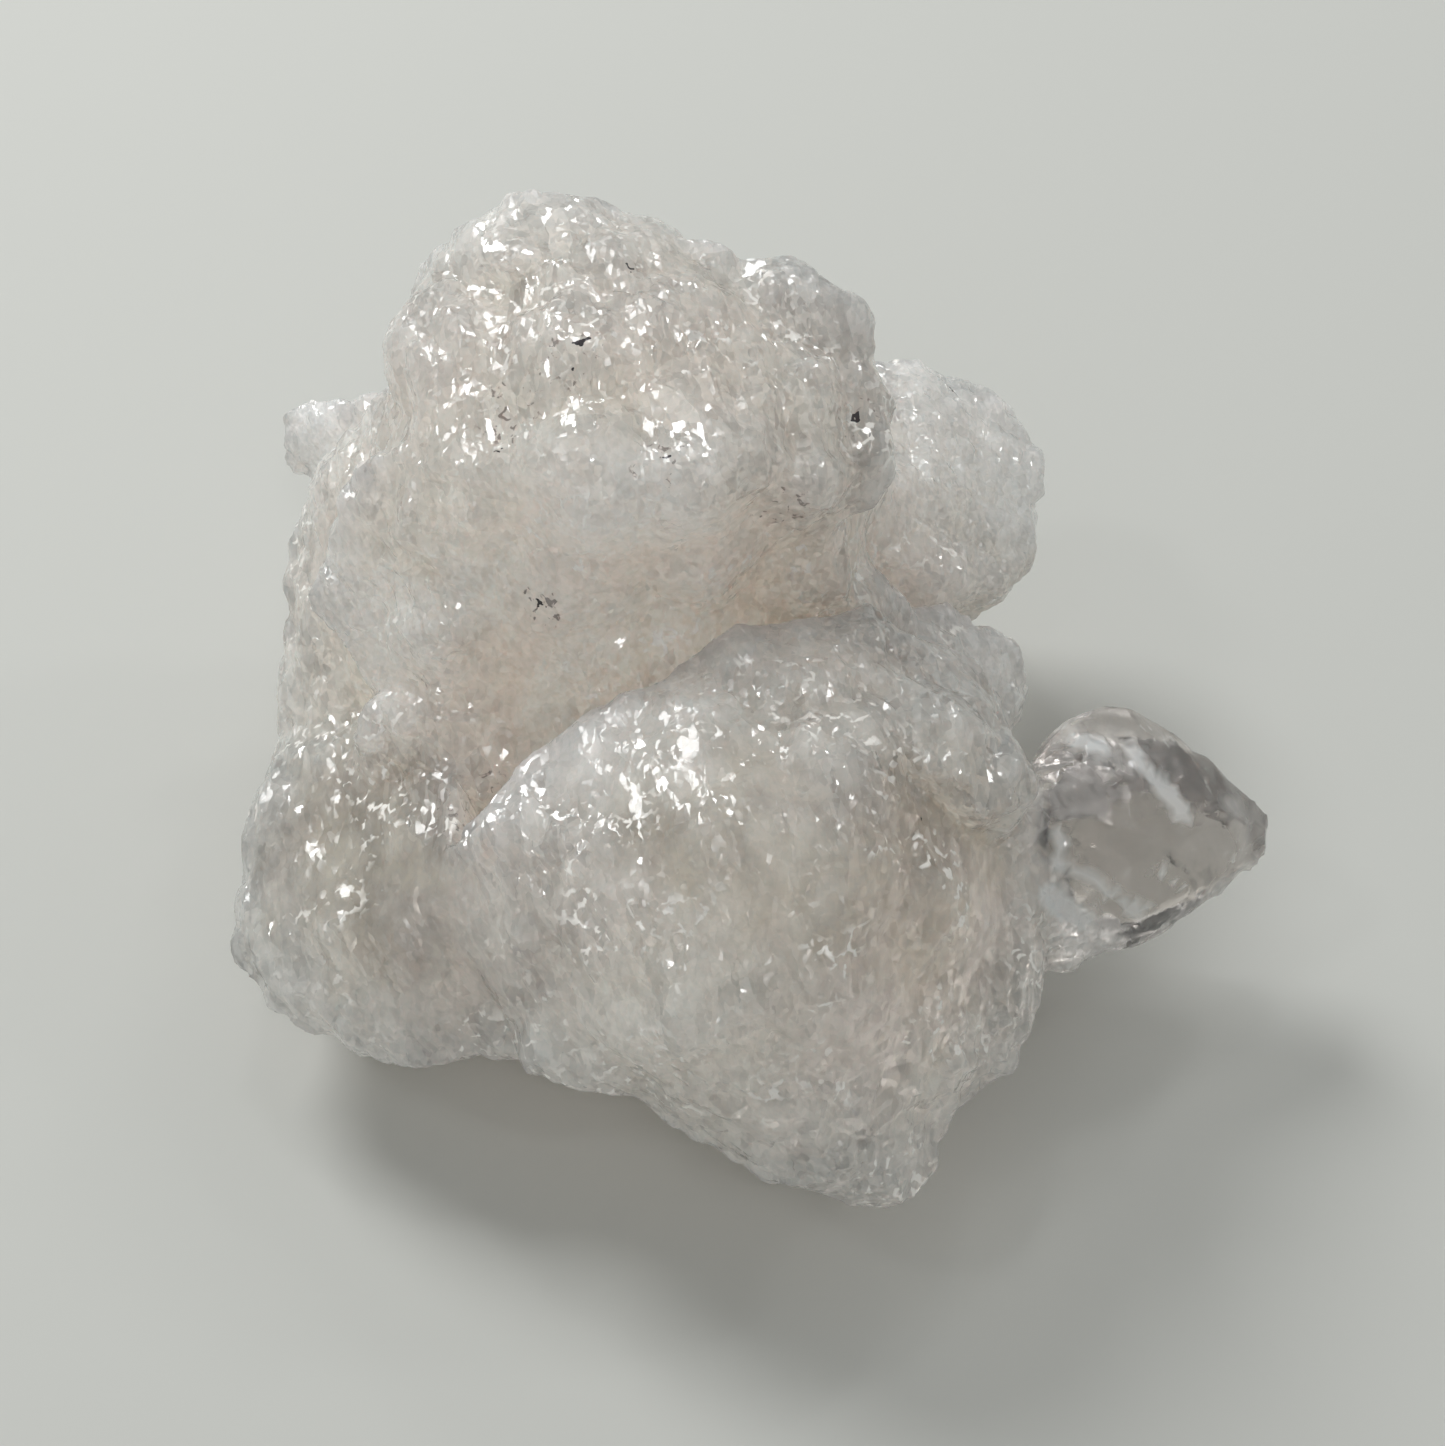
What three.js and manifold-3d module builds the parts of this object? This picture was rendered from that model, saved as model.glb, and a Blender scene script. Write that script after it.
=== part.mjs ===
// An etched kunzite specimen, 53 mm across: lobes of one pale pink crystal grown together into one stone.
// Millimetres, +Z up. The stone rests on a flat broken face in the plane z = 0.
//
// Each lobe is a convex body with flat sides. The lobes blend into one field of distances, the etching is
// taken from that field, and the surface where the field is zero becomes the mesh.
import * as THREE from "three";
import { ConvexGeometry } from "three/addons/geometries/ConvexGeometry.js";
import { ImprovedNoise } from "three/addons/math/ImprovedNoise.js";
import { mergeVertices } from "three/addons/utils/BufferGeometryUtils.js";
import Module from "manifold-3d";

const wasm = await Module();
wasm.setup();

const CELL = 1.36; // spacing of the sampling grid, and so about the side of a triangle
const PULLS = 14; // steps in which a vertex settles on the edge or corner nearest to it
const MARGIN = 3; // empty space kept round the lobes in the grid
const EDGE_ROUNDING = 0.35; // how far the lobes' own edges are worn back

// Relief that the etching left.
const SWELL = { height: 0.9, length: 9 }; // broad undulations
const HILLOCK = { height: 1.7, size: 5.2, sunk: 0.68 }; // flat-sided lumps, all turned the same way
const CRYSTAL_TURN = new THREE.Euler(0.5, -0.35, 0.6); // the crystal axes against the ground

const noise = new ImprovedNoise();
const toCrystal = new THREE.Matrix4().makeRotationFromEuler(CRYSTAL_TURN).invert();

// The lobes: the corners of each, the reach of the fillet where it meets the lobes before it, and how much
// of the etching's height it has.
const LOBES = [
  {
    name: "core",
    blend: 3,
    relief: 0.6,
    corners: [
      [-19, 12, 9], [-20, -1, 8], [-11, -11, 8], [6, -15, 7], [14, -8, 8], [14, 9, 8], [5, 18, 8],
      [-12, 19, 8], [-10, 8, 22], [2, 6, 20], [1, -6, 19], [-12, -4, 16], [-11, 8, -3], [-12, -3, -3],
      [-2, -9, -3], [9, -6, -3], [9, 6, -3], [-2, 11, -3],
    ],
  },
  {
    name: "upper block",
    blend: 2.4,
    relief: 1,
    corners: [
      [-16, 18.5, 30], [-13, 21, 31], [-6, 21.5, 32], [-1, 20.3, 31.5], [3.8, 18, 31], [8, 14.5, 30],
      [8.6, 10.5, 28], [-15, 7, 30], [-7.5, 4.5, 32], [-3, 3.5, 32.5], [2, 3.5, 31], [6, 5, 28.5],
      [-5, 12, 34], [-15.5, -3, 12], [-8, -1.5, 11], [-1, 2, 12], [5, 4, 14], [7.5, 8, 20],
      [-17.5, 7, 22], [-18, 2.5, 17], [-17, 20, 12], [0, 21, 10], [9, 15, 12],
    ],
  },
  {
    name: "crest",
    blend: 1.2,
    relief: 0.7,
    corners: [
      [-13.2, 20.3, 31.8], [-9.5, 21.2, 32.8], [-6, 20.3, 32.4], [-7, 14, 33.8], [-13, 15, 32.4],
      [-10, 22, 28], [-15, 19, 28], [-5, 20, 28],
    ],
  },
  {
    name: "beak",
    blend: 0.8,
    relief: 0.3,
    corners: [
      [9, 7.2, 25.2], [8.3, 9.5, 27.5], [3, 6.5, 29], [3, 4, 24], [6, 12, 22], [4, 12, 28],
      [5, 5.5, 22],
    ],
  },
  {
    name: "left ridge",
    blend: 0.8,
    relief: 1,
    corners: [
      [-18.5, 8.5, 25.5], [-20.8, 6, 21.5], [-21, 3.3, 18], [-19, 0.5, 16], [-14, -0.5, 21],
      [-13, 3, 26], [-15, 9, 27.5], [-13, 8, 14], [-18, 10, 17], [-10, 2, 22],
    ],
  },
  {
    name: "left knob",
    blend: 0.8,
    relief: 1,
    corners: [
      [-19.4, -0.5, 16.5], [-18.8, -2.8, 13.8], [-15.5, -4.2, 13], [-12, -4.5, 15.5], [-12, -2, 19.5],
      [-17.5, 1, 19], [-13, 3, 11], [-17, 1, 11],
    ],
  },
  {
    name: "left wall",
    blend: 2,
    relief: 0.8,
    corners: [
      [-22.3, 14, 15.5], [-23.5, 9, 13], [-24.4, 3, 10.5], [-17, 17, 25.5], [-16, 12, 22], [-15, 2, 18],
      [-20, 15, 4], [-22, 3, 4], [-10, 16, 3], [-19, 18, 16], [-12, 3, 5],
    ],
  },
  {
    name: "left spike",
    blend: 0.8,
    relief: 0.5,
    corners: [
      [-24.9, 19, 15.2], [-24.4, 20, 18], [-18, 18.6, 21.5], [-15, 21, 13], [-22, 15.2, 13.4],
      [-15, 13, 15], [-21, 20.5, 16],
    ],
  },
  {
    name: "lower left block",
    blend: 1.2,
    relief: 0.55,
    corners: [
      [-25.2, -2, 10], [-26, -8, 7.5], [-24, -11.5, 6.5], [-17, -15, 7.3], [-8.5, -16, 9],
      [-12.5, -10, 17.5], [-19.5, 4, 14], [-13, -1, 17], [-23.5, -8.5, 9.8], [-22, -4, 3.5],
      [-15, -9, 3], [-20, 3, 3], [-8, -8, 3], [-24.2, 3, 10.5],
    ],
  },
  {
    name: "front lobe",
    blend: 0.9,
    relief: 0.7,
    corners: [
      [-15, -8, 16.8], [-7, -2, 21], [-1, 1.5, 23], [6, 4.5, 23], [9.5, 4, 21.8], [14.2, 1, 18.8],
      [15.8, -2, 17], [-1, -11.5, 24.5], [6, -15.5, 21], [-1, -18.5, 18.5], [8, -6.5, 23.5],
      [-9.5, -17, 10.8], [-6, -18.5, 10], [-1, -21, 9.2], [6.5, -23.6, 8], [8.7, -22.8, 7.5],
      [14, -16.5, 7.5], [17, -11.5, 9.3], [0, -14, 4], [8, -14, 3.5], [13, -8, 4], [-5, -8, 3],
    ],
  },
  {
    name: "lower right bump",
    blend: 1,
    relief: 0.8,
    corners: [
      [14.8, -15.6, 7.3], [14.4, -17, 8.3], [11.5, -17.5, 10.5], [10, -15, 14], [14.5, -12, 12],
      [15.5, -13, 8.5], [10, -12, 6],
    ],
  },
  {
    name: "right knob",
    blend: 0.9,
    relief: 0.8,
    corners: [
      [7.5, -7, 22.8], [11, -8.8, 22.7], [15, -6.5, 20], [15.8, -3, 18], [12, -1, 20.8], [8, -3, 22.5],
      [11, -6, 12], [15.5, -7, 14],
    ],
  },
  {
    name: "clear tip",
    blend: 1,
    relief: 0.3,
    corners: [
      [17, 1.6, 14.8], [19, 2.4, 15.4], [21.8, 2.6, 14.6], [25.2, 1.2, 12.2], [28.2, 0, 10.6],
      [29.3, -1.2, 9.2], [28.9, -2.6, 7.4], [27.2, -4, 6.2], [23.6, -6.6, 6], [19.5, -8.4, 7.4],
      [16.5, -11, 7.6], [18, -2.5, 17.2], [22.5, -2.8, 15], [27, -3.2, 12.2], [28.4, -3, 10.4], [14, -6, 17],
      [19, -3, 5], [25, -1.5, 5.6], [14, 0, 8], [12, -8, 10],
    ],
  },
  {
    name: "back right lobe",
    blend: 1.2,
    relief: 1,
    corners: [
      [8.8, 24.6, 16.5], [13.9, 24.7, 16.5], [17.2, 22.9, 15.7], [18.3, 17.7, 13.8], [18, 14, 12.5],
      [17, 11, 12], [7, 9.5, 17.5], [5, 20, 18.5], [8, 22, 8], [14, 20, 5.5], [10, 11, 4], [16, 16, 7],
      [4, 12, 6],
    ],
  },
  {
    name: "right shoulder",
    blend: 1.4,
    relief: 1,
    corners: [
      [14.8, 10, 13.5], [17.4, 7.5, 12], [16.6, 3, 11.3], [9, 10, 17.5], [8, 4, 19], [11, 7, 3.5],
      [15, 4, 5], [14.5, 0, 12], [4, 7, 20],
    ],
  },
];

// Height of the etch hillocks at a point, from 0 to 1: blunt pyramids round scattered seeds, with their
// sides along the crystal axes.
function hillocks(point) {
  const p = point.clone().applyMatrix4(toCrystal).divideScalar(HILLOCK.size);
  const cell = p.clone().floor();
  let nearest = Infinity;
  for (let i = -1; i <= 1; i++)
    for (let j = -1; j <= 1; j++)
      for (let k = -1; k <= 1; k++) {
        const corner = new THREE.Vector3(cell.x + i, cell.y + j, cell.z + k);
        const away = p.clone().sub(corner).sub(scatter(corner));
        const reach = Math.max(
          Math.abs(away.x) + 0.5 * Math.abs(away.y),
          Math.abs(away.y) + 0.5 * Math.abs(away.z),
          Math.abs(away.z) + 0.5 * Math.abs(away.x),
        );
        nearest = Math.min(nearest, reach);
      }
  return Math.max(0, 1 - nearest);
}

// A repeatable random place inside the unit cube above a corner.
function scatter(corner) {
  const random = (x, y, z) => {
    const s = Math.sin(corner.x * x + corner.y * y + corner.z * z) * 43758.5453;
    return s - Math.floor(s);
  };
  const x = random(127.1, 311.7, 74.7);
  const y = random(269.5, 183.3, 246.1);
  const z = random(113.5, 271.9, 124.6);
  return new THREE.Vector3(x, y, z);
}

// Height of the etching above the lobes' own sides.
function relief(point) {
  const s = point.clone().divideScalar(SWELL.length);
  const swell = SWELL.height * noise.noise(s.x, s.y, s.z);
  return swell + HILLOCK.height * (hillocks(point) - HILLOCK.sunk);
}

// The flat sides of the convex body through the corners, as planes facing out.
function sidesOf(corners) {
  const hull = new ConvexGeometry(corners.map((c) => new THREE.Vector3(...c)));
  const at = hull.getAttribute("position");
  const triangle = new THREE.Triangle();
  const sides = [];
  for (let i = 0; i < at.count; i += 3) {
    triangle.setFromAttributeAndIndices(at, i, i + 1, i + 2);
    sides.push(triangle.getPlane(new THREE.Plane()));
  }
  return sides;
}

// Distance from a point to the convex body with those sides, whose edges are worn round. Negative inside.
function distanceTo(sides, point) {
  const distances = sides.map((side) => side.distanceToPoint(point));
  const farthest = Math.max(...distances);
  if (farthest > 2 * MARGIN) return farthest;
  const sum = distances.reduce((total, d) => total + Math.exp((d - farthest) / EDGE_ROUNDING), 0);
  return farthest + EDGE_ROUNDING * Math.log(sum);
}

// Distance from a point to the etched stone.
function stoneField(lobes, point) {
  let distance = Infinity;
  let share = 0;
  for (const lobe of lobes) {
    const d = distanceTo(lobe.sides, point);
    if (distance === Infinity) {
      distance = d;
      share = lobe.relief;
      continue;
    }
    const overlap = Math.max(lobe.blend - Math.abs(d - distance), 0) / lobe.blend;
    const towardsLobe = THREE.MathUtils.clamp(0.5 + (0.5 * (distance - d)) / lobe.blend, 0, 1);
    distance = Math.min(d, distance) - (overlap * overlap * lobe.blend) / 4;
    share = THREE.MathUtils.lerp(share, lobe.relief, towardsLobe);
  }
  return Math.abs(distance) < MARGIN ? distance - share * relief(point) : distance;
}

// A field's values at the points of a grid over a box.
function sample(field, box) {
  const size = box.getSize(new THREE.Vector3()).divideScalar(CELL).ceil().addScalar(1);
  const [nx, ny, nz] = size.toArray();
  const values = new Float64Array(nx * ny * nz);
  const index = (i, j, k) => i + nx * (j + ny * k);
  const place = (i, j, k) => new THREE.Vector3(i, j, k).multiplyScalar(CELL).add(box.min);
  for (let k = 0; k < nz; k++)
    for (let j = 0; j < ny; j++)
      for (let i = 0; i < nx; i++) values[index(i, j, k)] = field(place(i, j, k));
  return { nx, ny, nz, values, index, place };
}

// Fills grid points so that no grid square has just two opposite corners inside, because two sheets of the
// surface would touch there. Returns how many points it filled.
function fillPinches({ nx, ny, nz, values, index }) {
  const steps = [index(1, 0, 0), index(0, 1, 0), index(0, 0, 1)];
  let filled = 0;
  for (let k = 0; k < nz - 1; k++)
    for (let j = 0; j < ny - 1; j++)
      for (let i = 0; i < nx - 1; i++)
        for (let axis = 0; axis < 3; axis++) {
          const a = index(i, j, k);
          const [u, v] = [steps[(axis + 1) % 3], steps[(axis + 2) % 3]];
          const corners = [a, a + u, a + u + v, a + v];
          const inside = corners.map((c) => values[c] < 0);
          if (inside[0] !== inside[2] || inside[1] !== inside[3] || inside[0] === inside[1]) continue;
          const outer = corners.filter((c) => values[c] >= 0);
          const nearest = values[outer[0]] < values[outer[1]] ? outer[0] : outer[1];
          values[nearest] = -0.01 * CELL;
          filled++;
        }
  return filled;
}

// The direction in which a field grows fastest at a point.
function slope(field, point) {
  const step = 0.05 * CELL;
  const rise = (axis) => {
    const ahead = point.clone().setComponent(axis, point.getComponent(axis) + step);
    const behind = point.clone().setComponent(axis, point.getComponent(axis) - step);
    return field(ahead) - field(behind);
  };
  return new THREE.Vector3(rise(0), rise(1), rise(2)).normalize();
}

// Where the flat pieces of surface in a cell meet: at their edge or corner if they have one, and otherwise
// in the middle of them.
function meetingOf(faces, cell) {
  const place = new THREE.Vector3();
  for (const face of faces) place.addScaledVector(face.at, 1 / faces.length);
  for (let n = 0; n < PULLS; n++) {
    const pull = new THREE.Vector3();
    for (const face of faces) {
      const away = face.at.clone().sub(place);
      pull.addScaledVector(face.normal, face.normal.dot(away));
    }
    place.addScaledVector(pull, 1.5 / faces.length);
  }
  return cell.clampPoint(place, place);
}

// The surface where a sampled field is zero: a vertex in each grid cell that it passes through, and a
// square across each grid edge that it crosses.
function surfaceOf(field, grid) {
  const { nx, ny, nz, values, index, place } = grid;
  while (fillPinches(grid));
  const vertexOf = new Map();
  const vertices = [];
  const triangles = [];
  const steps = [[1, 0, 0], [0, 1, 0], [0, 0, 1]];
  const inside = (at) => values[index(...at)] < 0;
  const add = (at, step, times) => at.map((n, m) => n + times * step[m]);
  const faceAcross = (a, b) => {
    const [va, vb] = [values[index(...a)], values[index(...b)]];
    const at = place(...a).lerp(place(...b), va / (va - vb));
    return { at, normal: slope(field, at) };
  };
  const vertexIn = (lowest) => {
    const key = index(...lowest);
    if (vertexOf.has(key)) return vertexOf.get(key);
    const faces = [];
    for (let axis = 0; axis < 3; axis++)
      for (const p of [0, 1])
        for (const q of [0, 1]) {
          const a = add(add(lowest, steps[(axis + 1) % 3], p), steps[(axis + 2) % 3], q);
          const b = add(a, steps[axis], 1);
          if (inside(a) !== inside(b)) faces.push(faceAcross(a, b));
        }
    const cell = new THREE.Box3(place(...lowest), place(...lowest).addScalar(CELL));
    vertexOf.set(key, vertices.length);
    vertices.push(meetingOf(faces, cell.expandByScalar(-0.05 * CELL)));
    return vertexOf.get(key);
  };
  const gap = (a, b) => Math.abs(field(vertices[a].clone().lerp(vertices[b], 0.5)));
  for (let k = 1; k < nz - 1; k++)
    for (let j = 1; j < ny - 1; j++)
      for (let i = 1; i < nx - 1; i++)
        for (let axis = 0; axis < 3; axis++) {
          const from = [i, j, k];
          const outward = inside(from);
          if (outward === inside(add(from, steps[axis], 1))) continue;
          const [u, v] = [steps[(axis + 1) % 3], steps[(axis + 2) % 3]];
          const corner = (p, q) => vertexIn(add(add(from, u, -p), v, -q));
          const square = [corner(1, 1), corner(0, 1), corner(0, 0), corner(1, 0)];
          const [a, b, c, d] = outward ? square : square.reverse();
          if (gap(a, c) < gap(b, d)) triangles.push(a, b, c, a, c, d);
          else triangles.push(b, c, d, b, d, a);
        }
  return new THREE.BufferGeometry().setFromPoints(vertices).setIndex(triangles);
}

function toSolid(geometry) {
  const bare = geometry.clone();
  bare.deleteAttribute("normal");
  bare.deleteAttribute("uv");
  const merged = mergeVertices(bare, 1e-4);
  return new wasm.Manifold(
    new wasm.Mesh({
      numProp: 3,
      vertProperties: merged.getAttribute("position").array,
      triVerts: new Uint32Array(merged.index.array),
    }),
  );
}

function toGeometry(solid) {
  const { vertProperties, triVerts } = solid.getMesh();
  return new THREE.BufferGeometry()
    .setAttribute("position", new THREE.BufferAttribute(vertProperties, 3))
    .setIndex(new THREE.BufferAttribute(triVerts, 1));
}

// Everything below the resting plane.
function ground() {
  const side = 200;
  return toSolid(new THREE.BoxGeometry(side, side, side).translate(0, 0, -side / 2));
}

function stone() {
  const lobes = LOBES.map((lobe) => ({ ...lobe, sides: sidesOf(lobe.corners) }));
  const corners = LOBES.flatMap((lobe) => lobe.corners.map((c) => new THREE.Vector3(...c)));
  const box = new THREE.Box3().setFromPoints(corners).expandByScalar(MARGIN);
  const field = (point) => stoneField(lobes, point);
  const surface = surfaceOf(field, sample(field, box));
  const geometry = toGeometry(toSolid(surface).subtract(ground()));
  geometry.computeBoundingBox();
  const middle = geometry.boundingBox.getCenter(new THREE.Vector3());
  geometry.translate(-middle.x, -middle.y, 0);
  geometry.computeVertexNormals();
  return geometry;
}

const kunzite = new THREE.Mesh(
  stone(),
  new THREE.MeshStandardMaterial({
    color: 0xe0cfc6,
    roughness: 0.25,
    metalness: 0,
    transparent: true,
    opacity: 0.85,
  }),
);
kunzite.name = "kunzite";

const specimen = new THREE.Group();
specimen.add(kunzite);
export default specimen;
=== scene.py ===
import math

import bmesh
import bpy
import numpy as np
from mathutils import Matrix, Vector


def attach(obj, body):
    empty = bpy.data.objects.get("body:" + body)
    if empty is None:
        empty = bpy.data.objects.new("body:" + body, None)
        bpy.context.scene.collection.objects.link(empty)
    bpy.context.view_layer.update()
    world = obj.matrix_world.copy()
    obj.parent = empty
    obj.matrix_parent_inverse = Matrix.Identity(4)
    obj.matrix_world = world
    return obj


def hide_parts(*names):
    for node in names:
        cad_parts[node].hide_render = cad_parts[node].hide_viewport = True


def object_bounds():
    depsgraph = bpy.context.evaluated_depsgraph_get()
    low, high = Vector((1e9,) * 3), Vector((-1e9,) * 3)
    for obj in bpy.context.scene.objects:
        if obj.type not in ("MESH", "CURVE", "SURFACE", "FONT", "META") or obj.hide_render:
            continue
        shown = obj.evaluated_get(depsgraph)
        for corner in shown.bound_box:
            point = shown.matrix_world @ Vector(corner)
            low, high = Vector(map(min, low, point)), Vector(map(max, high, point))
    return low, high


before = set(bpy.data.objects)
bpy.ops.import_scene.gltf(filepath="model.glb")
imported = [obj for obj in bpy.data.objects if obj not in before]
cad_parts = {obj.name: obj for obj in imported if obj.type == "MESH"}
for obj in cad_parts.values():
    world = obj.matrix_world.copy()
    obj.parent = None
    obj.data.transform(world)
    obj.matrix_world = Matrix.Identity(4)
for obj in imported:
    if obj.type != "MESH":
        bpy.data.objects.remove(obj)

CAD_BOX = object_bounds()
# The mesh is worked in mm. Blender, the shader and the frame are in metres.
MM = 0.001

# ---------------------------------------------------------------- places on the stone
# All places are in mm, in the frame of the CAD part.

# x, y, z and radius of the panes with little relief
EVEN_ZONES = [
    (-7.2, 2.9, 28.5, 5.0), (-9.2, 1.6, 25.0, 6.0), (-9.4, -0.3, 20.9, 6.0), (-3.0, 2.5, 25.0, 6.0),
    (0.4, 3.4, 20.9, 5.0), (-3.5, -9.5, 23.4, 6.5), (1.2, -14.4, 21.6, 4.5), (-16.0, -12.0, 12.5, 5.0),
    (-21.1, -5.8, 12.4, 5.0), (-21.5, 4.1, 19.9, 4.0), (-22.3, 13.0, 18.5, 4.0), (6.2, 10.6, 16.6, 4.0),
    (20.0, -4.0, 12.0, 8.0), (5.9, -15.2, 18.5, 6.0), (3.6, -20.9, 13.3, 4.0), (9.8, -12.0, 16.0, 5.0),
]
# the knobs and ridges with a knobbly crust
CRUST_ZONES = [
    (11.3, 17.9, 16.0, 6.5), (13.4, 15.3, 14.1, 6.0), (13.0, 5.8, 12.5, 4.0), (-21.5, 4.1, 19.9, 3.5),
    (-22.3, 13.0, 18.5, 4.0), (-24.0, 18.0, 16.7, 4.0), (11.1, -16.5, 10.2, 3.5), (-17.2, 2.6, 21.9, 3.0),
    (-17.4, -1.8, 17.1, 3.0), (-14.5, 4.6, 27.2, 2.5), (-9.1, -11.0, 19.6, 2.0), (-5.3, -15.7, 19.2, 2.5),
    (-0.6, -19.5, 16.6, 2.5), (3.6, -20.9, 13.3, 2.5), (4.6, -22.2, 10.9, 2.5),
]
# where the stone is milkier and paler than elsewhere: partly real milk, partly painted light that lifts
# shaded crevices and shaded faces
MILKY_AND_PAINTED_LIGHT_ZONES = [
    (11.3, 17.9, 16.0, 7.0), (7.0, 10.6, 15.6, 7.0), (13.0, 5.8, 12.5, 4.5), (-7.0, 0.0, 23.0, 10.0),
    (-17.3, 1.0, 20.0, 5.0), (17.0, -9.0, 10.0, 3.5), (-24.0, 18.0, 16.7, 4.0),
]
# where the stone is clearer and darker than elsewhere: partly real clear stone, partly painted shade on
# the lower-left lobe and where the window light falls on the front lobe
THIN_AND_PAINTED_SHADE_ZONES = [
    (-19.0, -8.0, 14.0, 6.0), (-21.1, -5.8, 12.4, 5.0), (-2.5, -10.1, 23.4, 5.0), (6.0, -12.0, 17.0, 7.0),
]
# x, y, z and radius of the clear tip
CLEAR_ZONES = [(20.0, -4.0, 12.0, 8.5)]
# pale cracks in and beside the clear tip: start, end and half-width
VEILS = [
    ((19.0, -2.3, 15.5), (21.6, -4.4, 13.3), 0.45),
    ((14.9, -7.5, 13.9), (19.5, -7.7, 9.6), 0.35),
    ((14.6, -8.7, 12.6), (16.6, -8.9, 10.4), 0.55),
    ((14.8, -6.4, 15.1), (15.3, -6.9, 14.2), 0.25),
    ((19.9, -6.4, 11.6), (21.8, -6.3, 9.5), 0.25),
    ((16.0, -1.9, 16.2), (17.2, -2.2, 16.2), 0.4),
]
# the veils are sheets that reach into the stone in this direction
SHEET = np.array((0.0, -0.57, 0.82))
# where dark grains lie in the surface
DIRT_ZONES = [
    (-8.4, 8.8, 32.6, 2.2), (-11.6, 7.4, 30.5, 2.0), (-4.3, 3.3, 31.7, 1.5), (5.0, 9.2, 27.9, 1.6),
    (1.3, 4.1, 27.4, 1.8), (-10.2, 0.8, 24.0, 1.2), (-14.3, -5.8, 16.0, 2.2), (-13.4, -4.6, 15.1, 2.0),
]
# dark mineral flakes: place and half-width
FLAKES = [
    (-8.4, 9.3, 32.9, 0.22), (-8.4, 8.2, 32.3, 0.13), (-4.3, 3.3, 31.7, 0.2), (5.0, 9.2, 27.9, 0.19),
    (-5.9, 14.7, 32.6, 0.17), (-10.2, 0.8, 24.0, 0.15), (-12.2, 5.1, 30.0, 0.15),
]

# ---------------------------------------------------------------- noise and zones

NEIGHBOURS = np.array([(i, j, k) for i in (-1, 0, 1) for j in (-1, 0, 1) for k in (-1, 0, 1)], dtype=float)
CORNERS = np.array([(i, j, k) for i in (0, 1) for j in (0, 1) for k in (0, 1)], dtype=float)


def hashed(cells, salt):
    """A repeatable random number in 0..1 for each whole-number cell."""
    s = np.sin(cells @ np.array([127.1, 311.7, 74.7]) + salt) * 43758.5453
    return s - np.floor(s)


def smooth_step(t):
    t = np.clip(t, 0.0, 1.0)
    return t * t * (3 - 2 * t)


def noise(points, size, salt):
    """Smooth noise in -1..1 whose lumps are about size across."""
    p = points / size
    base = np.floor(p)
    f = smooth_step(p - base)
    total = np.zeros(len(p))
    for corner in CORNERS:
        weight = np.prod(np.where(corner == 1, f, 1 - f), axis=1)
        total += weight * hashed(base + corner, salt)
    return 2 * total - 1


def unit(vectors):
    return vectors / np.linalg.norm(vectors, axis=-1, keepdims=True)


def balls(points, spots):
    """Strength 0..1 of a zone made of soft balls with ragged rims."""
    best = np.zeros(len(points))
    ragged = 0.3 * noise(points, 3.0, 51.0) + 0.15 * noise(points, 1.0, 53.0)
    for x, y, z, r in spots:
        d = np.linalg.norm(points - np.array([x, y, z]), axis=1) / r + ragged
        best = np.maximum(best, 1 - smooth_step((d - 0.6) / 0.6))
    return best


def streaks(points, bars):
    """Strength 0..1 of ragged bars, each from a start to an end."""
    best = np.zeros(len(points))
    ragged = 0.45 * noise(points, 1.6, 57.0) + 0.25 * noise(points, 0.6, 59.0)
    flat = np.eye(3) - 0.8 * np.outer(SHEET, SHEET)
    p = points @ flat
    for start, end, half in bars:
        a = np.array(start) @ flat
        b = np.array(end) @ flat
        along = np.clip((p - a) @ (b - a) / ((b - a) @ (b - a)), 0.0, 1.0)
        d = np.linalg.norm(p - a - along[:, None] * (b - a), axis=1) / half + ragged
        best = np.maximum(best, 1 - smooth_step((d - 0.7) / 0.4))
    return best


# ---------------------------------------------------------------- etched relief

# the crystal's length, and a frame with its third axis along it
LENGTHWAYS = Vector((0.2, -0.93, -0.3)).normalized()
LENGTHWAYS_TURN = LENGTHWAYS.to_track_quat("Z", "X")
CRYSTAL_FRAME = np.array(LENGTHWAYS_TURN.to_matrix())
# distances from hillock to hillock in mm
LARGE = 2.4
MEDIUM = 1.1
SMALL = 0.55
# a hillock is longer than it is wide by this much
LONG = 1.25
# normals of the flat sides of a hillock, in the crystal's frame
HILLOCK_SIDES = unit(np.array([
    (1, 0.2, 0.35), (-0.8, 0.5, 0.45), (0.1, -1, 0.5), (-0.3, -0.6, -0.9), (0.5, 0.7, -0.8),
]))


def hillocks(points, size, salt):
    """Height of flat-sided etch hillocks about size apart: the highest of the tips near each point."""
    p = points @ CRYSTAL_FRAME * np.array([1, 1, 1 / LONG]) / size
    base = np.floor(p)
    best = np.full(len(p), -1.0)
    for step in NEIGHBOURS:
        cell = base + step
        seed = np.stack([hashed(cell, salt + n) for n in (0.0, 1.3, 2.9)], axis=1)
        away = p - cell - seed
        near = (away * away).sum(axis=1) < 2.0
        away = away[near]
        cell = cell[near]
        spin = 0.5 * np.stack([hashed(cell, salt + n) - 0.5 for n in (5.3, 6.1, 7.9)], axis=1)
        reach = ((away + np.cross(spin, away)) @ HILLOCK_SIDES.T).max(axis=1)
        tip = 0.55 + 0.45 * hashed(cell, salt + 4.1)
        best[near] = np.maximum(best[near], tip - 0.8 * reach)
    return best - 0.4


def patches(points, size, salt):
    """Share 0..1 of soft-edged patches about size across."""
    return smooth_step(0.5 + 1.6 * noise(points, size, salt))


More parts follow.
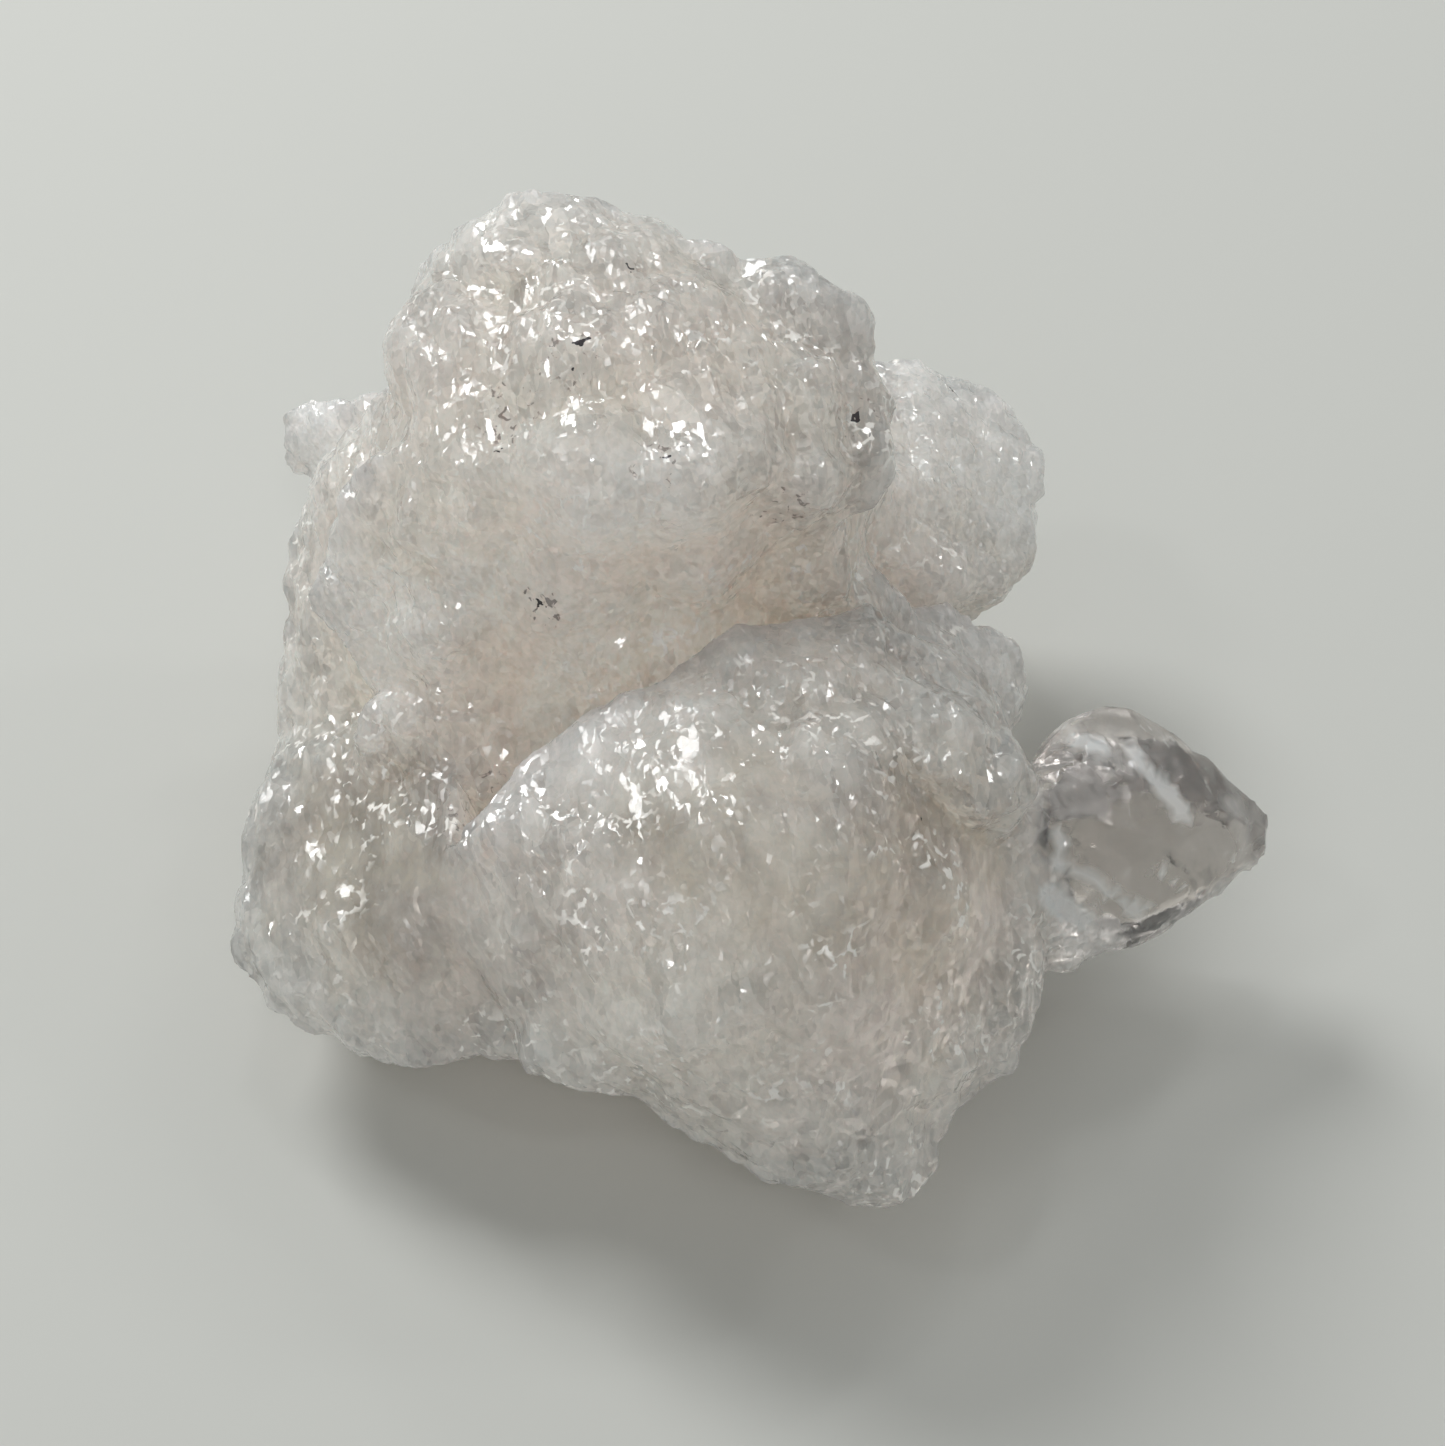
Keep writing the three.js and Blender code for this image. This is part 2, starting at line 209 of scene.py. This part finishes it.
def relief(p):
    """Height of the etched surface over the smooth one, in mm."""
    large = hillocks(p, LARGE, 1.0)
    medium = hillocks(p, MEDIUM, 2.0)
    small = hillocks(p, SMALL, 3.0)
    broken = patches(p, 3.0, 21.0)
    grainy = patches(p, 2.4, 23.0)
    etched = large + (0.15 + 0.3 * broken) * medium + 0.05 * grainy * small
    satin = 0.35 * large + 0.12 * medium + 0.02 * small
    crusty = 0.4 * large + 0.7 * medium + 0.2 * small

    # the side that the stone lies on is a flat break
    even = np.maximum(balls(p, EVEN_ZONES), smooth_step(1.2 - p[:, 2]))
    crust = balls(p, CRUST_ZONES)
    height = etched * (1 - even) + satin * even + 0.15 * noise(p, 3.4, 41.0)
    height = height * (1 - crust) + crusty * crust
    height *= 1 - 0.6 * balls(p, CLEAR_ZONES)
    # the face it rests on stays flat
    foot = smooth_step((p[:, 2] - 0.1) / 0.8)
    return height * foot


# ---------------------------------------------------------------- the stone's mesh

# sizes in mm
VOXEL = 0.16
WELD = 0.001
INSET = 0.01
TRIANGLES = 190_000
SHARP_EDGE = math.radians(5)
# rounds of averaging that turn the normals into those of the broad form
BROAD_ROUNDS = 14


def with_modifiers(obj, name):
    """A new mesh holding what obj looks like with its modifiers."""
    graph = bpy.context.evaluated_depsgraph_get()
    mesh = bpy.data.meshes.new_from_object(obj.evaluated_get(graph))
    mesh.name = name
    return mesh


def read_vectors(mesh, what):
    """One vector per vertex: its place (co) or its normal."""
    flat = np.empty(len(mesh.vertices) * 3)
    mesh.vertices.foreach_get(what, flat)
    return flat.reshape(-1, 3)


def broad_normals(mesh):
    """Vertex normals averaged over the neighbours again and again."""
    pairs = np.empty(2 * len(mesh.edges), dtype=np.int64)
    mesh.edges.foreach_get("vertices", pairs)
    a, b = pairs.reshape(-1, 2).T
    n = read_vectors(mesh, "normal")
    for _ in range(BROAD_ROUNDS):
        total = n.copy()
        for axis in range(3):
            total[:, axis] += np.bincount(a, n[b, axis], len(n))
            total[:, axis] += np.bincount(b, n[a, axis], len(n))
        n = unit(total)
    return n


def welded_copy(node):
    """The CAD solid in mm, with its corners joined."""
    mesh = node.data.copy()
    mesh.transform(Matrix.Scale(1 / MM, 4))
    bm = bmesh.new()
    bm.from_mesh(mesh)
    bmesh.ops.remove_doubles(bm, verts=bm.verts, dist=WELD)
    bm.to_mesh(mesh)
    bm.free()
    return mesh


def remeshed(mesh, name):
    """The solid as an even, fine mesh with its edges softened."""
    raw = bpy.data.objects.new("raw", mesh)
    bpy.context.scene.collection.objects.link(raw)
    remesh = raw.modifiers.new("remesh", "REMESH")
    remesh.mode = "VOXEL"
    remesh.voxel_size = VOXEL
    soft = raw.modifiers.new("soft", "SMOOTH")
    soft.factor = 0.5
    soft.iterations = 3
    fine = with_modifiers(raw, name)
    bpy.data.objects.remove(raw)
    return fine


def etch(mesh):
    """Raise the relief along the normals, but push nothing below the floor."""
    p = read_vectors(mesh, "co")
    p += read_vectors(mesh, "normal") * relief(p)[:, None]
    p[:, 2] = np.maximum(p[:, 2], 0.0)
    mesh.vertices.foreach_set("co", p.ravel())
    mesh.update()


def thinned(obj, name):
    """The object's mesh with about TRIANGLES triangles, fewest where it is flat."""
    thin = obj.modifiers.new("thin", "DECIMATE")
    thin.ratio = TRIANGLES / (2 * len(obj.data.polygons))
    thin.use_collapse_triangulate = True
    mesh = with_modifiers(obj, name)
    obj.modifiers.clear()
    return mesh


def connected_parts(bm):
    """Lists of vertices, one for each connected part."""
    unseen = set(bm.verts)
    parts = []
    while unseen:
        part = []
        front = [unseen.pop()]
        while front:
            vert = front.pop()
            part.append(vert)
            fresh = {edge.other_vert(vert) for edge in vert.link_edges} & unseen
            unseen -= fresh
            front.extend(fresh)
        parts.append(part)
    return parts


def drop_crumbs(mesh):
    """Delete the loose bits that the remesh leaves. Only the largest connected part stays."""
    bm = bmesh.new()
    bm.from_mesh(mesh)
    parts = sorted(connected_parts(bm), key=len)
    crumbs = [vert for part in parts[:-1] for vert in part]
    bmesh.ops.delete(bm, geom=crumbs, context="VERTS")
    bm.to_mesh(mesh)
    bm.free()


def keep_in_cad_box(mesh):
    """Move the points less than INSET inside the CAD box inwards, and turn mm into metres."""
    lo = np.array(CAD_BOX[0]) / MM + INSET
    hi = np.array(CAD_BOX[1]) / MM - INSET
    p = np.clip(read_vectors(mesh, "co"), lo, hi)
    mesh.vertices.foreach_set("co", (p * MM).ravel())
    mesh.update()
    return p


def add_fields(mesh, p):
    """Point values that the material reads."""
    fields = {
        "even": balls(p, EVEN_ZONES) * (1 - balls(p, CRUST_ZONES)),
        "clear": balls(p, CLEAR_ZONES),
        "veil": streaks(p, VEILS),
        # thin: high in the clearer, darker zones, partly painted shade; low in the milky, paler zones,
        # partly painted light
        "thin": 0.5 + 0.5 * balls(p, THIN_AND_PAINTED_SHADE_ZONES) - 0.5 * balls(p, MILKY_AND_PAINTED_LIGHT_ZONES),
        "dirt": balls(p, DIRT_ZONES),
    }
    for label, values in fields.items():
        layer = mesh.attributes.new(label, "FLOAT", "POINT")
        layer.data.foreach_set("value", values.astype(np.float32))
    layer = mesh.attributes.new("broad", "FLOAT_VECTOR", "POINT")
    layer.data.foreach_set("vector", broad_normals(mesh).ravel().astype(np.float32))


def seated(p, flakes):
    """The flakes moved onto the nearest point of the surface."""
    moved = []
    for *place, half in flakes:
        nearest = ((p - place) ** 2).sum(axis=1).argmin()
        moved.append((*p[nearest], half))
    return moved


def stone(name):
    """The etched stone, and the dark flakes seated on it."""
    fine = remeshed(welded_copy(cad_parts["kunzite"]), name)
    etch(fine)
    piece = bpy.data.objects.new(name, fine)
    bpy.context.scene.collection.objects.link(piece)
    final = thinned(piece, name)
    drop_crumbs(final)
    piece.data = final
    p = keep_in_cad_box(final)
    final.polygons.foreach_set("use_smooth", np.ones(len(final.polygons), dtype=bool))
    final.set_sharp_from_angle(angle=SHARP_EDGE)
    add_fields(final, p)
    return piece, seated(p, FLAKES)


# ---------------------------------------------------------------- material

# the mean of a noise texture's colour
MIDDLE = (0.5, 0.5, 0.5)
SPODUMENE_IOR = 1.66
# how far light spreads in the milk, in metres, and in shares of it for red, green and blue
MILK_DEPTH = 0.022
MILK_SPREAD = (1.0, 0.85, 0.8)
# widths of the flat faces that glint, in mm
BIG_FACET = 1.3
SMALL_FACET = 0.4
# a flake is twice as long from left to right as it is high
FLAKE_SQUASH = (0.5, 1.2, 1.0)

# the next two colours: the milky stone's, also used as painted light in the milky zones, and the thin
# stone's, also used as painted shade in the thin zones
MILKY_AND_PAINTED_LIGHT = (0.985, 0.90, 0.845, 1)
THIN_AND_PAINTED_SHADE = (0.93, 0.80, 0.68, 1)
PINK = (0.965, 0.82, 0.755, 1)
DUSTY = (0.80, 0.75, 0.68, 1)
CLEAR = (0.90, 0.84, 0.805, 1)
CRACK_WHITE = (1.0, 0.97, 0.92, 1)
DARK_MINERAL = (0.05, 0.045, 0.05, 1)
PAPER = (0.62, 0.63, 0.60, 1)


class Graph:
    """Short ways to add nodes to one material."""

    def __init__(self, name):
        self.material = bpy.data.materials.new(name)
        self.material.use_nodes = True
        tree = self.material.node_tree
        self.nodes = tree.nodes
        self.links = tree.links
        self.nodes.clear()
        out = self.nodes.new("ShaderNodeOutputMaterial")
        self.shader = self.nodes.new("ShaderNodeBsdfPrincipled")
        self.links.new(self.shader.outputs["BSDF"], out.inputs["Surface"])
        self.place = self.nodes.new("ShaderNodeTexCoord").outputs["Object"]
        self.geometry = self.nodes.new("ShaderNodeNewGeometry")

    def feed(self, socket, value):
        """Link the socket to another socket, or set its value."""
        if isinstance(value, bpy.types.NodeSocket):
            self.links.new(value, socket)
        else:
            socket.default_value = value

    def set(self, name, value):
        """Feed an input of the Principled shader."""
        self.feed(self.shader.inputs[name], value)

    def maths(self, operation, a, b):
        node = self.nodes.new("ShaderNodeMath")
        node.operation = operation
        self.feed(node.inputs[0], a)
        self.feed(node.inputs[1], b)
        return node.outputs["Value"]

    def add(self, a, b):
        return self.maths("ADD", a, b)

    def times(self, a, b):
        return self.maths("MULTIPLY", a, b)

    def most(self, a, b):
        return self.maths("MAXIMUM", a, b)

    def rest_of(self, share):
        return self.maths("SUBTRACT", 1.0, share)

    def vector_node(self, operation, a):
        node = self.nodes.new("ShaderNodeVectorMath")
        node.operation = operation
        self.feed(node.inputs[0], a)
        return node

    def vector(self, operation, a, b):
        node = self.vector_node(operation, a)
        self.feed(node.inputs[1], b)
        return node.outputs["Vector"]

    def scaled(self, a, factor):
        node = self.vector_node("SCALE", a)
        self.feed(node.inputs["Scale"], factor)
        return node.outputs["Vector"]

    def direction(self, a):
        return self.vector_node("NORMALIZE", a).outputs["Vector"]

    def length(self, a):
        return self.vector_node("LENGTH", a).outputs["Value"]

    def span(self, value, low, high, start=0.0, end=1.0):
        """Low where value is start or less, high where it is end or more."""
        node = self.nodes.new("ShaderNodeMapRange")
        self.feed(node.inputs["Value"], value)
        self.feed(node.inputs["From Min"], start)
        self.feed(node.inputs["From Max"], end)
        self.feed(node.inputs["To Min"], low)
        self.feed(node.inputs["To Max"], high)
        return node.outputs["Result"]

    def blend(self, share, a, b):
        """Colour a where share is 0, colour b where it is 1."""
        node = self.nodes.new("ShaderNodeMix")
        node.data_type = "RGBA"
        # a Mix node has sockets for each kind of data: 0 is the factor, 6 and 7 are the colours
        self.feed(node.inputs[0], share)
        self.feed(node.inputs[6], a)
        self.feed(node.inputs[7], b)
        return node.outputs[2]

    def attribute(self, name, output="Fac"):
        node = self.nodes.new("ShaderNodeAttribute")
        node.attribute_name = name
        return node.outputs[output]

    def noise(self, scale, detail, distortion):
        """Noise with about scale lumps to the metre."""
        node = self.nodes.new("ShaderNodeTexNoise")
        self.feed(node.inputs["Vector"], self.place)
        self.feed(node.inputs["Scale"], scale)
        self.feed(node.inputs["Detail"], detail)
        self.feed(node.inputs["Distortion"], distortion)
        return node

    def cloud(self, scale, detail, distortion=0.0):
        return self.noise(scale, detail, distortion).outputs["Fac"]

    def bent_place(self, scale, detail, reach):
        """The place, moved by up to about half of reach in mm."""
        shove = self.vector("SUBTRACT", self.noise(scale, detail, 0.0).outputs["Color"], MIDDLE)
        return self.vector("ADD", self.place, self.scaled(shove, reach * MM))

    def random(self, seed):
        node = self.nodes.new("ShaderNodeTexWhiteNoise")
        self.feed(node.inputs["Vector"], seed)
        return node.outputs["Value"]

    def facets(self, size, shift):
        """Random leaning and random number of each flat face about size (mm) across.

        The faces are longer along the crystal, and shift keeps two sets of them apart.
        """
        along = self.nodes.new("ShaderNodeMapping")
        along.vector_type = "TEXTURE"
        # the rims are bent by noise about as coarse as the faces
        self.feed(along.inputs["Vector"], self.bent_place(900 / size, 1, 0.5 * size))
        self.feed(along.inputs["Rotation"], tuple(LENGTHWAYS_TURN.to_euler()))
        self.feed(along.inputs["Scale"], (size * MM, size * MM, 2.5 * size * MM))
        self.feed(along.inputs["Location"], (shift, shift, shift))
        cells = self.nodes.new("ShaderNodeTexVoronoi")
        cells.distance = "MANHATTAN"
        self.feed(cells.inputs["Vector"], along.outputs["Vector"])
        self.feed(cells.inputs["Scale"], 1.0)
        lean = self.vector("SUBTRACT", cells.outputs["Color"], MIDDLE)
        return lean, self.random(cells.outputs["Position"])


def facet_glints(g, even, clear, big_facets, small_facets):
    """A coat of small flat faces that lean at random, so that some of them mirror a light."""
    big_lean, big_pick = big_facets
    small_lean, small_pick = small_facets
    swarm = g.span(g.cloud(420, 2, 0.5), 0.15, 1.5, 0.4, 0.6)
    share = g.times(g.times(g.span(even, 0.9, 0.18), swarm), g.span(clear, 1.0, 0.4))
    # seen from inside the stone the coat is weaker, and in the clear tip there is none
    inside = g.times(g.geometry.outputs["Backfacing"], g.span(clear, 0.4, 1.0))
    g.set("Coat Weight", g.times(g.maths("LESS_THAN", small_pick, share), g.rest_of(inside)))

    # on some broad faces the small ones lie in one plane and flash together
    steep = g.times(g.span(small_pick, 0.5, 1.6, 0.4, 1.0), g.span(big_pick, 0.15, 1.0, 0.35, 0.45))
    lean = g.vector("ADD", g.scaled(big_lean, 0.8), g.scaled(small_lean, steep))
    to_world = g.nodes.new("ShaderNodeVectorTransform")
    to_world.vector_type = "NORMAL"
    to_world.convert_from = "OBJECT"
    to_world.convert_to = "WORLD"
    g.feed(to_world.inputs["Vector"], g.attribute("broad", "Vector"))
    form = g.scaled(to_world.outputs["Vector"], 0.8)
    upright = g.vector("ADD", form, g.scaled(g.geometry.outputs["Normal"], 0.2))
    g.set("Coat Normal", g.direction(g.vector("ADD", upright, lean)))

    grain = g.scaled(g.vector("ADD", small_lean, big_lean), g.span(clear, 0.3, 0.0))
    g.set("Normal", g.direction(g.vector("ADD", g.geometry.outputs["Normal"], grain)))


def hair_cracks(g):
    """Share 0..1 of short white hairs, the edges of small cracks, that lie in swarms."""
    cells = g.nodes.new("ShaderNodeTexVoronoi")
    cells.feature = "DISTANCE_TO_EDGE"
    g.feed(cells.inputs["Vector"], g.bent_place(600, 2, 1.2))
    g.feed(cells.inputs["Scale"], 900)
    hair = g.span(cells.outputs["Distance"], 1.0, 0.0, 0.05, 0.12)
    broken = g.span(g.cloud(1800, 1), 0.0, 1.0, 0.52, 0.58)
    swarm = g.span(g.cloud(230, 2, 0.6), 0.0, 1.0, 0.5, 0.62)
    return g.times(g.times(hair, broken), swarm)


def dark_minerals(g, flakes):
    """Share 0..1 of dark grains and of the few dark flakes."""
    grains = g.span(g.cloud(2400, 2, 1.0), 0.0, 0.7, 0.62, 0.68)
    dark = g.times(grains, g.span(g.attribute("dirt"), 0.0, 1.0, 0.2, 0.8))
    bent = g.bent_place(2500, 1, 1.0)
    for x, y, z, half in flakes:
        away = g.vector("SUBTRACT", bent, (x * MM, y * MM, z * MM))
        away = g.vector("MULTIPLY", away, FLAKE_SQUASH)
        dark = g.most(dark, g.maths("LESS_THAN", g.length(away), half * MM))
    return dark


def clear_share(g, even, clear, hairs, dark, picks):
    """Share of light that goes straight through. The rest is scattered by the milk in the stone."""
    wide = g.span(g.cloud(110, 2, 0.8), 0.08, 0.28, 0.3, 0.7)
    fine = g.span(g.cloud(700, 3, 0.3), 0.23, 0.35, 0.35, 0.65)
    # the thin field makes the stone clearer, and so darker, where shade is painted, and milkier, and so
    # paler, where light is painted
    share = g.add(g.add(wide, fine), g.span(g.attribute("thin"), -0.2, 0.1))
    uneven = g.span(even, 0.17, 0.05)
    for pick in picks:
        share = g.add(share, g.times(g.maths("SUBTRACT", pick, 0.5), uneven))
    share = g.times(share, g.rest_of(hairs))
    share = g.most(share, g.span(clear, 0.0, 0.9))
    share = g.times(share, g.span(g.attribute("veil"), 1.0, 0.35))
    # light that is already inside always goes on through the surface
    share = g.most(share, g.geometry.outputs["Backfacing"])
    return g.times(share, g.rest_of(dark))


def stone_colour(g, clear, pale, dark):
    """Milky or thin stone with pink blotches and fine dust, then the tip, cracks and minerals. The milky
    and thin zones also paint light and shade: paler in shaded crevices and faces, darker on the lower-left
    lobe and where the window light falls.
    """
    blotch = g.span(g.cloud(130, 2, 0.5), 0.0, 0.6, 0.4, 0.6)
    dusty = g.span(g.cloud(3200, 2), 0.0, 0.5, 0.45, 0.65)
    # painted light and painted shade: the colour goes paler in the milky zones and darker in the thin
    # zones
    colour = g.blend(g.attribute("thin"), MILKY_AND_PAINTED_LIGHT, THIN_AND_PAINTED_SHADE)
    colour = g.blend(blotch, colour, PINK)
    colour = g.blend(dusty, colour, DUSTY)
    colour = g.blend(clear, colour, CLEAR)
    colour = g.blend(pale, colour, CRACK_WHITE)
    return g.blend(dark, colour, DARK_MINERAL)


def kunzite_material(flakes):
    g = Graph("kunzite")
    g.set("IOR", SPODUMENE_IOR)
    g.set("Specular IOR Level", 0.2)
    g.set("Subsurface Radius", MILK_SPREAD)
    g.set("Subsurface Scale", MILK_DEPTH)
    g.set("Coat IOR", SPODUMENE_IOR)
    g.set("Coat Roughness", 0.04)
    even = g.attribute("even")
    clear = g.attribute("clear")
    big_facets = g.facets(BIG_FACET, 0.013)
    small_facets = g.facets(SMALL_FACET, 0.031)
    facet_glints(g, even, clear, big_facets, small_facets)
    hairs = hair_cracks(g)
    dark = dark_minerals(g, flakes)
    picks = (small_facets[1], big_facets[1])
    pale = g.most(hairs, g.attribute("veil"))
    g.set("Roughness", g.span(clear, 0.16, 0.1))
    g.set("Subsurface Weight", g.rest_of(hairs))
    g.set("Transmission Weight", clear_share(g, even, clear, hairs, dark, picks))
    g.set("Base Color", stone_colour(g, clear, pale, dark))
    return g.material


def floor_material():
    g = Graph("paper")
    g.set("Base Color", PAPER)
    g.set("Roughness", 0.9)
    g.set("Specular IOR Level", 0.2)
    return g.material


# ---------------------------------------------------------------- light and camera

# name, width in metres, power in watts, side and height in degrees, distance in metres.
# A light at side 0 is behind the stone, and one at side 90 is at its right.
WIDE_LIGHTS = [
    ("window", 0.20, 1.4, -40, 42, 0.5),
    ("sky", 0.9, 0.525, 35, 50, 0.8),
    ("room", 0.9, 0.77, -160, 50, 0.8),
]
# side and height of each small lamp
LAMPS = [(-8, 62), (28, 48), (70, 40), (-95, 55), (170, 60)]
LAMP_WIDTH = 0.055
LAMP_POWER = 0.091
LAMP_DISTANCE = 0.5
AIR_COLOUR = (0.93, 0.95, 0.93, 1)
AIR_STRENGTH = 0.27
FLOOR_WIDTH = 20.0

CAMERA_HEIGHT = math.radians(55)
CAMERA_DISTANCE = 150 * MM
CAMERA_TARGET = Vector((-1.532, -0.668, 16)) * MM
SENSOR_MM = 36
# focal length and width of the image in its pixels
FOCAL_PX = 3000
WIDTH_PX = 1445


def round_light(name, width, power, side, height, distance):
    """A round light that shines at the middle of the floor."""
    data = bpy.data.lights.new(name, "AREA")
    data.shape = "DISK"
    data.size = width
    data.energy = power
    light = bpy.data.objects.new(name, data)
    a = math.radians(side)
    e = math.radians(height)
    back = Vector((math.sin(a) * math.cos(e), math.cos(a) * math.cos(e), math.sin(e)))
    light.location = back * distance
    light.rotation_mode = "QUATERNION"
    light.rotation_quaternion = back.to_track_quat("Z", "Y")
    bpy.context.scene.collection.objects.link(light)


def light_the_room():
    for wide_light in WIDE_LIGHTS:
        round_light(*wide_light)
    for number, (side, height) in enumerate(LAMPS):
        round_light(f"lamp{number}", LAMP_WIDTH, LAMP_POWER, side, height, LAMP_DISTANCE)
    world = bpy.data.worlds.new("room")
    bpy.context.scene.world = world
    world.use_nodes = True
    background = world.node_tree.nodes["Background"]
    background.inputs["Color"].default_value = AIR_COLOUR
    background.inputs["Strength"].default_value = AIR_STRENGTH


def add_camera():
    data = bpy.data.cameras.new("camera")
    data.sensor_width = SENSOR_MM
    data.lens = SENSOR_MM * FOCAL_PX / WIDTH_PX
    data.clip_start = 0.01
    camera = bpy.data.objects.new("camera", data)
    back = Vector((0, -math.cos(CAMERA_HEIGHT), math.sin(CAMERA_HEIGHT)))
    camera.location = CAMERA_TARGET + back * CAMERA_DISTANCE
    camera.rotation_mode = "QUATERNION"
    camera.rotation_quaternion = (-back).to_track_quat("-Z", "Y")
    bpy.context.scene.collection.objects.link(camera)
    bpy.context.scene.camera = camera


# ---------------------------------------------------------------- build

kunzite, seated_flakes = stone("kunzite_stone")
kunzite.data.materials.clear()
kunzite.data.materials.append(kunzite_material(seated_flakes))
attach(kunzite, "root")
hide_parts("kunzite")

bpy.ops.mesh.primitive_plane_add(size=FLOOR_WIDTH, location=(0, 0, 0))
floor = bpy.context.object
floor.name = "floor"
floor.data.materials.append(floor_material())

light_the_room()
add_camera()
bpy.context.scene.view_settings.view_transform = "Standard"
